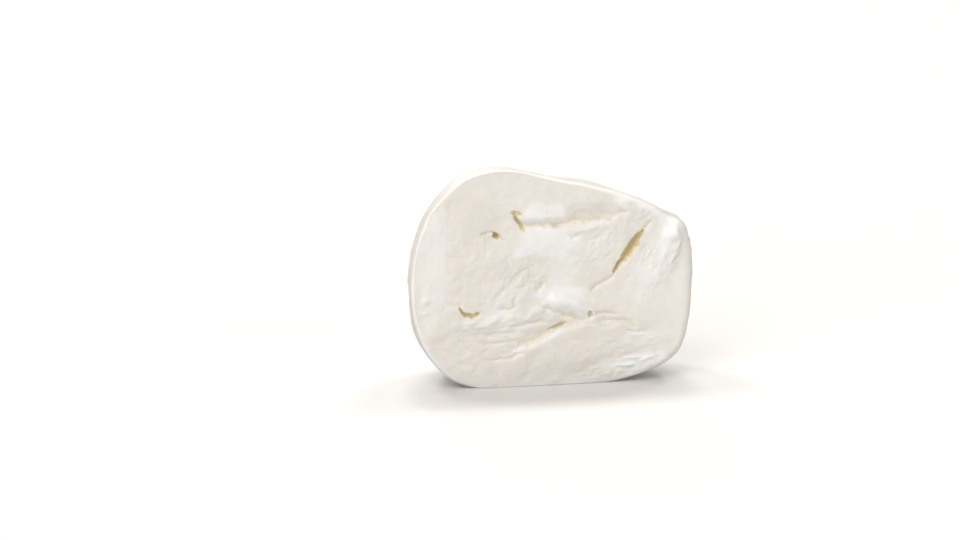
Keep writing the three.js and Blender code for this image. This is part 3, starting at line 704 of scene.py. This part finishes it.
class Tree:
    """Adds nodes to a tree and links them, so that each line reads as one step."""

    def __init__(self, tree):
        self.tree = tree

    def node(self, kind, inputs=None, **settings):
        """A new node with its settings and inputs, which are values or other nodes' outputs."""
        made = self.tree.nodes.new(kind)
        for name, value in settings.items():
            setattr(made, name, value)
        self.fill(made, inputs or {})
        return made

    def fill(self, node, inputs):
        """Links outputs to a node's inputs, and sets those that are given plain values."""
        for name, value in inputs.items():
            if isinstance(value, bpy.types.NodeSocket):
                self.tree.links.new(value, node.inputs[name])
            else:
                node.inputs[name].default_value = value

    def math(self, operation, *values, clamp=False):
        """A Math node's output."""
        inputs = dict(enumerate(values))
        made = self.node("ShaderNodeMath", inputs, operation=operation, use_clamp=clamp)
        return made.outputs[0]

    def product(self, first, *others):
        """Numbers multiplied with each other."""
        for value in others:
            first = self.math("MULTIPLY", first, value)
        return first

    def vector(self, operation, *values):
        """A Vector Math node's output: a vector, or a number for its length."""
        made = self.node("ShaderNodeVectorMath", dict(enumerate(values)), operation=operation)
        return made.outputs["Value" if operation == "LENGTH" else "Vector"]

    def scale(self, vector, factor):
        """A vector times a number."""
        made = self.node("ShaderNodeVectorMath", {0: vector, "Scale": factor}, operation="SCALE")
        return made.outputs["Vector"]

    def noise(self, vector, size, detail=2.0, roughness=0.5, distortion=0.0):
        """Noise from about -1 to 1 with features of the given size, a value or an output."""
        linked = isinstance(size, bpy.types.NodeSocket)
        scale = self.math("DIVIDE", 1.0, size) if linked else 1 / size
        made = self.node(
            "ShaderNodeTexNoise",
            {"Vector": vector, "Scale": scale, "Detail": detail, "Roughness": roughness,
             "Distortion": distortion},
        )
        return self.math("MULTIPLY_ADD", made.outputs[0], 2.0, -1.0)

    def mix(self, factor, first, second):
        """Two colours mixed by a factor, through the sockets that a Mix node has for colours."""
        made = self.node("ShaderNodeMix", {0: factor, 6: first, 7: second}, data_type="RGBA")
        return made.outputs[2]

    def remap(self, value, low, high, to_low=0.0, to_high=1.0, eased=False):
        """A value from one range to another, held at its ends."""
        kind = "SMOOTHSTEP" if eased else "LINEAR"
        inputs = {"Value": value, "From Min": low, "From Max": high, "To Min": to_low,
                  "To Max": to_high}
        return self.node("ShaderNodeMapRange", inputs, interpolation_type=kind).outputs[0]


def new_geometry_tree(name, inputs, outputs):
    """A geometry tree that has only its sockets yet, each given as its name and its kind."""
    tree = bpy.data.node_groups.new(name, "GeometryNodeTree")
    for in_out, sockets in (("INPUT", inputs), ("OUTPUT", outputs)):
        for socket, kind in sockets.items():
            tree.interface.new_socket(socket, in_out=in_out, socket_type="NodeSocket" + kind)
    return Tree(tree)


def apply_tree(piece, tree, values):
    """Runs a geometry tree on a piece with the named values, and keeps the result as its mesh."""
    modifier = piece.modifiers.new(tree.name, "NODES")
    modifier.node_group = tree
    for item in tree.interface.items_tree:
        if item.item_type == "SOCKET" and item.in_out == "INPUT" and item.name in values:
            modifier[item.identifier] = values[item.name]
    depsgraph = bpy.context.evaluated_depsgraph_get()
    evaluated = piece.evaluated_get(depsgraph)
    mesh = bpy.data.meshes.new_from_object(
        evaluated, preserve_all_data_layers=True, depsgraph=depsgraph
    )
    piece.modifiers.remove(modifier)
    plain = piece.data
    piece.data = mesh
    bpy.data.meshes.remove(plain)
    mesh.name = piece.name


# ---------------------------------------------------------------- fine relief


def fibre_patch_tree():
    """Curd torn into rounded fibres in one patch of the face, as a height."""
    nodes = new_geometry_tree(
        "Fibre patch",
        {"Place": "Vector", "Half lengths": "Vector", "Turn": "Float", "Pitch": "Float",
         "Stretch": "Float", "Height": "Float"},
        {"Height": "Float"},
    )
    given = nodes.node("NodeGroupInput").outputs
    position = nodes.node("GeometryNodeInputPosition").outputs[0]
    offset = nodes.vector("SUBTRACT", position, given["Place"])
    turned = nodes.node(
        "ShaderNodeVectorRotate",
        {"Vector": offset, "Axis": (0, 1, 0), "Angle": given["Turn"]},
        rotation_type="AXIS_ANGLE",
    ).outputs[0]
    share = nodes.vector("LENGTH", nodes.vector("DIVIDE", turned, given["Half lengths"]))
    fall = nodes.math("POWER", share, FIBRE_PATCH_POWER)
    mask = nodes.math("EXPONENT", nodes.math("MULTIPLY", fall, -1.0))
    parts = nodes.node("ShaderNodeSeparateXYZ", {0: turned}).outputs
    along = nodes.math("DIVIDE", parts["X"], given["Stretch"])
    squeezed = nodes.node("ShaderNodeCombineXYZ", {"X": along, "Y": parts["Y"], "Z": parts["Z"]})
    grain = nodes.scale(squeezed.outputs[0], nodes.math("DIVIDE", 1.0, given["Pitch"]))
    lumps = nodes.noise(grain, 1.0, **FIBRE_LUMPS)
    height = nodes.product(lumps, mask, given["Height"])
    nodes.node("NodeGroupOutput", {"Height": height})
    return nodes.tree


def fibre_height(nodes, origin):
    """Height of all the patches of torn fibres together."""
    patch_tree = fibre_patch_tree()
    fibres = 0.0
    for _, (x, z), (along, across), turn, pitch, stretch, height in FIBRES:
        patch = {
            "Place": origin + Vector((x, 0, z)) * MM,
            "Half lengths": (along * MM, 1.0, across * MM),
            "Turn": math.radians(turn),
            "Pitch": pitch * MM,
            "Stretch": stretch,
            "Height": height * MM,
        }
        made = nodes.node("GeometryNodeGroup", patch, node_tree=patch_tree)
        fibres = nodes.math("ADD", fibres, made.outputs["Height"])
    return fibres


def skin_height(nodes, given, moved):
    """Height of the skin's bumps, wrinkles and pimples together."""
    bumps = nodes.noise(moved, given["Skin size"], **SKIN_BUMPS)
    bumps = nodes.product(bumps, given["Skin height"])

    squeezed = nodes.vector("MULTIPLY", moved, WRINKLES["squeeze"])
    waves = nodes.noise(squeezed, given["Wrinkle size"], distortion=WRINKLES["distortion"])
    ridge = nodes.math("ABSOLUTE", waves)
    ridge = nodes.remap(ridge, 0.0, WRINKLES["width"], 1.0, 0.0, eased=True)
    patches = nodes.noise(moved, WRINKLED["size"], detail=1.0)
    patches = nodes.remap(patches, WRINKLED["from"], WRINKLED["full"], eased=True)
    wrinkles = nodes.product(ridge, patches, given["Wrinkle height"])

    cells = {"Vector": moved, "Scale": 1 / PIMPLES["spacing"]}
    distance = nodes.node("ShaderNodeTexVoronoi", cells).outputs["Distance"]
    pimples = nodes.remap(distance, PIMPLES["top"], PIMPLES["foot"], 1.0, 0.0, eased=True)
    pimples = nodes.product(pimples, given["Pimple height"])
    return nodes.math("ADD", nodes.math("ADD", bumps, wrinkles), pimples)


def fine_relief_tree(material, origin):
    """The fine relief of curd and skin: the mesh moved along its normals by noise of each kind."""
    numbers = {name: "Float" for name in RELIEF_INPUTS}
    nodes = new_geometry_tree(
        "Fine relief",
        {"Geometry": "Geometry", **numbers, "Seed": "Int"},
        {"Geometry": "Geometry"},
    )
    given = nodes.node("NodeGroupInput").outputs
    cut, hollow, milk = (
        nodes.node("GeometryNodeInputNamedAttribute", {"Name": name}).outputs["Attribute"]
        for name in MASKS
    )
    position = nodes.node("GeometryNodeInputPosition").outputs[0]
    seed = nodes.product(given["Seed"], SEED_STEP)
    moved = nodes.vector("ADD", position, nodes.node("ShaderNodeCombineXYZ", {0: seed}).outputs[0])

    dry, closed, skin = (
        nodes.math("SUBTRACT", 1.0, mask, clamp=True) for mask in (milk, hollow, cut)
    )
    bare = nodes.math("MULTIPLY", cut, dry, clamp=True)
    fibres = nodes.product(fibre_height(nodes, origin), bare, closed, given["Fibre height"])
    grain = nodes.product(nodes.noise(moved, given["Grain size"]), given["Grain height"], bare)
    skin = nodes.product(skin_height(nodes, given, moved), skin)
    height = nodes.math("ADD", nodes.math("ADD", fibres, grain), skin)

    normal = nodes.node("GeometryNodeInputNormal").outputs["Normal"]
    parts = nodes.node("ShaderNodeSeparateXYZ", {0: position}).outputs
    above_table = nodes.remap(parts["Z"], 0.0, RELIEF_OVER_TABLE)
    offset = nodes.scale(normal, nodes.product(height, above_table))
    placed = nodes.node("GeometryNodeSetPosition", {"Geometry": given["Geometry"], "Offset": offset})
    whole = nodes.node("GeometryNodeRealizeInstances", {"Geometry": placed.outputs[0]})
    painted = nodes.node(
        "GeometryNodeSetMaterial", {"Geometry": whole.outputs[0], "Material": material})
    nodes.node("NodeGroupOutput", {"Geometry": painted.outputs[0]})
    return nodes.tree


# ---------------------------------------------------------------- materials


def cheese_material(finish):
    """Fresh curd: soft and scattering, milky where whey lies, with golden shade painted in its
    hollows and painted light on its rim.
    """
    material = bpy.data.materials.new("fresh_mozzarella")
    material.use_nodes = True
    nodes = Tree(material.node_tree)
    position = nodes.node("ShaderNodeTexCoord").outputs["Object"]
    cut, hollow, milk = (
        nodes.node("ShaderNodeAttribute", attribute_name=name).outputs["Fac"] for name in MASKS
    )

    cloud = nodes.noise(position, **CLOUDS)
    fleck = nodes.noise(position, **FLECKS)
    shade = nodes.remap(cloud, *CLOUD_RANGE)
    curd = nodes.mix(shade, finish.curd, finish.curd_shade)
    curd = nodes.mix(nodes.remap(fleck, *FLECK_RANGE, 0.0, FLECK_MILK), curd, finish.milk)
    skin = nodes.mix(shade, finish.skin, finish.skin_shade)
    colour = nodes.mix(nodes.remap(cut, *CURD_RANGE, eased=True), skin, curd)
    # painted light: the rim where curd turns into skin is painted with the milk colour
    rim = nodes.product(nodes.math("SUBTRACT", 1.0, cut), cut, RIM_PAINTED_LIGHT)
    colour = nodes.mix(rim, colour, finish.milk)
    colour = nodes.mix(milk, colour, finish.milk)
    # painted shade: golden brown in the openings and at the bottoms of creases
    colour = nodes.mix(hollow, colour, finish.hollow)

    wet = nodes.math("MAXIMUM", milk, nodes.remap(cloud, *WET_RANGE, 0.0, WET_CLOUDS))
    roughness = nodes.remap(wet, 0.0, 1.0, finish.roughness, finish.wet_roughness)
    roughness = nodes.math("MULTIPLY_ADD", fleck, FLECK_ROUGHNESS, roughness)
    pores = {
        "Height": nodes.noise(position, PORES["size"]),
        "Distance": PORES["depth"],
        "Strength": PORES["strength"],
    }
    nodes.fill(material.node_tree.nodes["Principled BSDF"], {
        "Base Color": colour,
        "Roughness": roughness,
        "IOR": 1.4,
        "Normal": nodes.node("ShaderNodeBump", pores).outputs[0],
        "Subsurface Weight": 0.65,
        "Subsurface Radius": (1.0, 0.72, 0.45),
        "Subsurface Scale": finish.scatter,
        "Coat Weight": nodes.remap(wet, 0.0, 1.0, COAT["dry"], COAT["wet"]),
        "Coat Roughness": 0.16,
        "Coat IOR": 1.35,
    })
    return material


def floor_material(colour, thrown_back):
    """A plain pale tabletop, which throws back only a share of its light on to the piece."""
    material = bpy.data.materials.new("pale_tabletop")
    material.use_nodes = True
    nodes = Tree(material.node_tree)
    seen = nodes.node("ShaderNodeLightPath").outputs["Is Camera Ray"]
    share = nodes.remap(seen, 0.0, 1.0, thrown_back, 1.0)
    nodes.fill(material.node_tree.nodes["Principled BSDF"], {
        "Base Color": nodes.scale(colour[:3], share),
        "Roughness": 0.7,
        "Specular IOR Level": 0.2,
    })
    return material


# ---------------------------------------------------------------- settings


def length_setting(name, description, default, lowest=0):
    """A length in metres, shown in the scene's units."""
    return bpy.props.FloatProperty(
        name=name, description=description, default=default, min=lowest, precision=5,
        subtype="DISTANCE", unit="LENGTH",
    )


def angle_setting(name, description, degrees):
    """An angle, shown in the scene's units."""
    return bpy.props.FloatProperty(
        name=name, description=description, default=math.radians(degrees), subtype="ANGLE",
        unit="ROTATION",
    )


def share_setting(name, description, default):
    """A share from 0 to 1."""
    return bpy.props.FloatProperty(
        name=name, description=description, default=default, min=0, max=1, subtype="FACTOR",
    )


def strength_setting(name, description, default):
    """A strength, from 0 up."""
    return bpy.props.FloatProperty(name=name, description=description, default=default, min=0)


def colour_setting(name, description, default):
    """A linear colour with its alpha at 1."""
    return bpy.props.FloatVectorProperty(
        name=name, description=description, default=(*default, 1), size=4, min=0, max=1,
        subtype="COLOR",
    )


class MozzarellaSizes(bpy.types.PropertyGroup):
    """Sizes of the half ball and of its fine relief."""

    belly_depth: length_setting(
        "Belly depth", "From the cut plane to the back of the skin", 27 * MM)
    face_step: length_setting("Face spacing", "Mesh spacing on the cut face", 0.24 * MM)
    skin_step: length_setting("Skin spacing", "Mesh spacing on the skin", 0.46 * MM)
    grain_size: length_setting("Grain size", "Size of the curd's soft grain", 1.5 * MM)
    grain_height: length_setting("Grain height", "Height of the curd's soft grain", 0.12 * MM)
    skin_size: length_setting("Skin bump size", "Size of the bumps on the skin", 4.2 * MM)
    skin_height: length_setting("Skin bump height", "Height of the bumps on the skin", 0.2 * MM)
    wrinkle_size: length_setting("Wrinkle size", "Distance between the skin's wrinkles", 7 * MM)
    wrinkle_height: length_setting("Wrinkle height", "Height of the skin's wrinkles", 0.16 * MM)
    pimple_height: length_setting("Pimple height", "Height of the skin's pimples", 0.2 * MM)
    fibre_height: strength_setting("Fibre strength", "How deep the curd is torn into fibres", 2.2)
    seed: bpy.props.IntProperty(
        name="Seed", description="Which unevenness the surface gets", default=3, min=0)


class MozzarellaFinish(bpy.types.PropertyGroup):
    """Colours and gloss of the cheese."""

    curd: colour_setting("Curd", "The cut curd", (0.86, 0.842, 0.806))
    curd_shade: colour_setting("Curd shade", "Darker clouds in the cut curd", (0.83, 0.803, 0.757))
    milk: colour_setting("Milk", "Curd that whey and milk cover", (0.965, 0.972, 0.975))
    skin: colour_setting("Skin", "The ball's smooth skin", (0.84, 0.83, 0.80))
    skin_shade: colour_setting("Skin shade", "Darker clouds in the skin", (0.79, 0.775, 0.735))
    # Painted shade: the golden brown painted in openings and crease bottoms for their warm shade.
    hollow: colour_setting("Hollow", "Curd deep in the openings", (0.79, 0.69, 0.46))
    roughness: share_setting("Roughness", "Roughness of drained curd", 0.42)
    wet_roughness: share_setting("Wet roughness", "Roughness where whey lies", 0.26)
    scatter: length_setting("Scatter", "How far light travels inside the curd", 0.45 * MM)


class MozzarellaStudio(bpy.types.PropertyGroup):
    """The table, the lights and the camera."""

    table: colour_setting("Table", "The pale tabletop", (0.87, 0.87, 0.87))
    bounce: share_setting(
        "Bounce", "Share of its light that the table throws on to the piece", 0.58)
    table_size: length_setting("Table size", "Length of a side of the tabletop", 6.0)
    key_strength: strength_setting(
        "Key lights", "Strength of the lights over the piece, a little behind it", 1.3)
    back_strength: strength_setting(
        "Back light", "Strength of the soft light behind the piece", 0.55)
    front_strength: strength_setting(
        "Front light", "Strength of the soft light high in front on the left", 0.86)
    fill_strength: strength_setting(
        "Fill lights", "Strength of the low soft lights in front", 1.15)
    surround: colour_setting(
        "Surround", "Light of the warm white room on the piece", (0.3, 0.258, 0.21))
    azimuth: angle_setting("Azimuth", "Turn of the camera round the piece", -12)
    elevation: angle_setting("Elevation", "Height of the camera over the table, as an angle", 12)
    distance: length_setting("Distance", "From the camera to the piece", 0.7)
    lens: bpy.props.FloatProperty(
        name="Focal length", description="Focal length of the lens",
        default=111.6, min=1, subtype="DISTANCE_CAMERA", unit="CAMERA")
    aside: length_setting(
        "Aside", "How far the camera looks past the piece on its left", 14.85 * MM)
    above: length_setting(
        "Above", "How far the camera looks over the piece's middle", -0.9 * MM, lowest=-1)


# ---------------------------------------------------------------- operators


def add_object(name, data):
    """A new object in the scene, at the origin."""
    piece = bpy.data.objects.new(name, data)
    bpy.context.scene.collection.objects.link(piece)
    return piece


def add_sun(name, strength, spread, travels):
    """A distant light as wide as the spread in degrees, whose rays travel the given way."""
    light = bpy.data.lights.new(name, "SUN")
    light.energy = strength
    light.angle = math.radians(spread)
    lamp = add_object(name, light)
    lamp.rotation_euler = Vector(travels).to_track_quat("-Z", "Y").to_euler()


def add_tabletop(studio):
    """The pale tabletop, a square sheet round the piece."""
    half = studio.table_size / 2
    corners = [(-half, -half, 0), (half, -half, 0), (half, half, 0), (-half, half, 0)]
    mesh = bpy.data.meshes.new("tabletop")
    mesh.from_pydata(corners, [], [(0, 1, 2, 3)])
    mesh.materials.append(floor_material(studio.table, studio.bounce))
    add_object("tabletop", mesh)


def white_room(surround):
    """A room that looks white and lights the piece with the surround's colour."""
    world = bpy.data.worlds.new("white_room")
    world.use_nodes = True
    nodes = Tree(world.node_tree)
    seen = nodes.node("ShaderNodeLightPath").outputs["Is Camera Ray"]
    colour = nodes.mix(seen, surround, (1, 1, 1, 1))
    nodes.fill(world.node_tree.nodes["Background"], {"Color": colour})
    return world


def add_camera(studio):
    """The camera, which looks a little past the piece."""
    lens = bpy.data.cameras.new("camera")
    lens.lens = studio.lens
    lens.sensor_width = SENSOR_WIDTH
    lens.clip_start, lens.clip_end = CLIP
    camera = add_object("camera", lens)
    turn, rise = studio.azimuth, studio.elevation
    level = math.cos(rise)
    back = Vector((math.sin(turn) * level, -math.cos(turn) * level, math.sin(rise)))
    right = Vector((math.cos(turn), math.sin(turn), 0))
    up = back.cross(right)
    middle = (LOW + HIGH) / 2
    camera.location = middle + back * studio.distance
    look = middle - right * studio.aside + up * studio.above - camera.location
    camera.rotation_euler = look.to_track_quat("-Z", "Y").to_euler()
    return camera


class MOZZARELLA_OT_make_half(bpy.types.Operator):
    """Make the half ball with its skin, folds, openings and torn curd"""

    bl_idname = "mozzarella.make_half"
    bl_label = "Half ball"

    def execute(self, context):
        sizes = context.scene.mozzarella_sizes
        mesh, origin = ball_mesh(sizes)
        half = add_object("mozzarella_half_ball", mesh)
        material = cheese_material(context.scene.mozzarella_finish)
        values = {name: getattr(sizes, setting) for name, setting in RELIEF_INPUTS.items()}
        apply_tree(half, fine_relief_tree(material, origin), values)
        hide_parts(NODE)
        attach(half, BODY)
        return {"FINISHED"}


class MOZZARELLA_OT_set_stage(bpy.types.Operator):
    """Set the pale table, the soft lights and the camera round the half ball"""

    bl_idname = "mozzarella.set_stage"
    bl_label = "Studio"

    def execute(self, context):
        scene = context.scene
        studio = scene.mozzarella_studio
        add_tabletop(studio)
        for name, (strength, share, spread, travels) in SUNS.items():
            add_sun(name, getattr(studio, strength) * share, spread, travels)
        scene.world = white_room(studio.surround)
        scene.camera = add_camera(studio)
        scene.view_settings.view_transform = "Standard"
        return {"FINISHED"}


class MOZZARELLA_PT_panel(bpy.types.Panel):
    """Lists the piece and the studio with their settings"""

    bl_idname = "MOZZARELLA_PT_panel"
    bl_label = "Mozzarella"
    bl_space_type = "VIEW_3D"
    bl_region_type = "UI"
    bl_category = "Mozzarella"

    def draw(self, context):
        scene = context.scene
        for settings, operator in (
            (scene.mozzarella_sizes, None),
            (scene.mozzarella_finish, MOZZARELLA_OT_make_half),
            (scene.mozzarella_studio, MOZZARELLA_OT_set_stage),
        ):
            box = self.layout.box()
            for name in settings.__annotations__:
                box.prop(settings, name)
            if operator:
                box.operator(operator.bl_idname)


SETTINGS = {
    "mozzarella_sizes": MozzarellaSizes,
    "mozzarella_finish": MozzarellaFinish,
    "mozzarella_studio": MozzarellaStudio,
}
CLASSES = (*SETTINGS.values(), MOZZARELLA_OT_make_half, MOZZARELLA_OT_set_stage,
           MOZZARELLA_PT_panel)


def register():
    """Adds the classes and their settings to Blender."""
    for each in CLASSES:
        bpy.utils.register_class(each)
    for name, group in SETTINGS.items():
        setattr(bpy.types.Scene, name, bpy.props.PointerProperty(type=group))


def unregister():
    """Takes the settings and the classes out again."""
    for name in SETTINGS:
        delattr(bpy.types.Scene, name)
    for each in reversed(CLASSES):
        bpy.utils.unregister_class(each)


def main():
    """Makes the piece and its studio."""
    register()
    bpy.ops.mozzarella.make_half()
    bpy.ops.mozzarella.set_stage()
    bpy.context.view_layer.update()


if __name__ == "__main__":
    main()
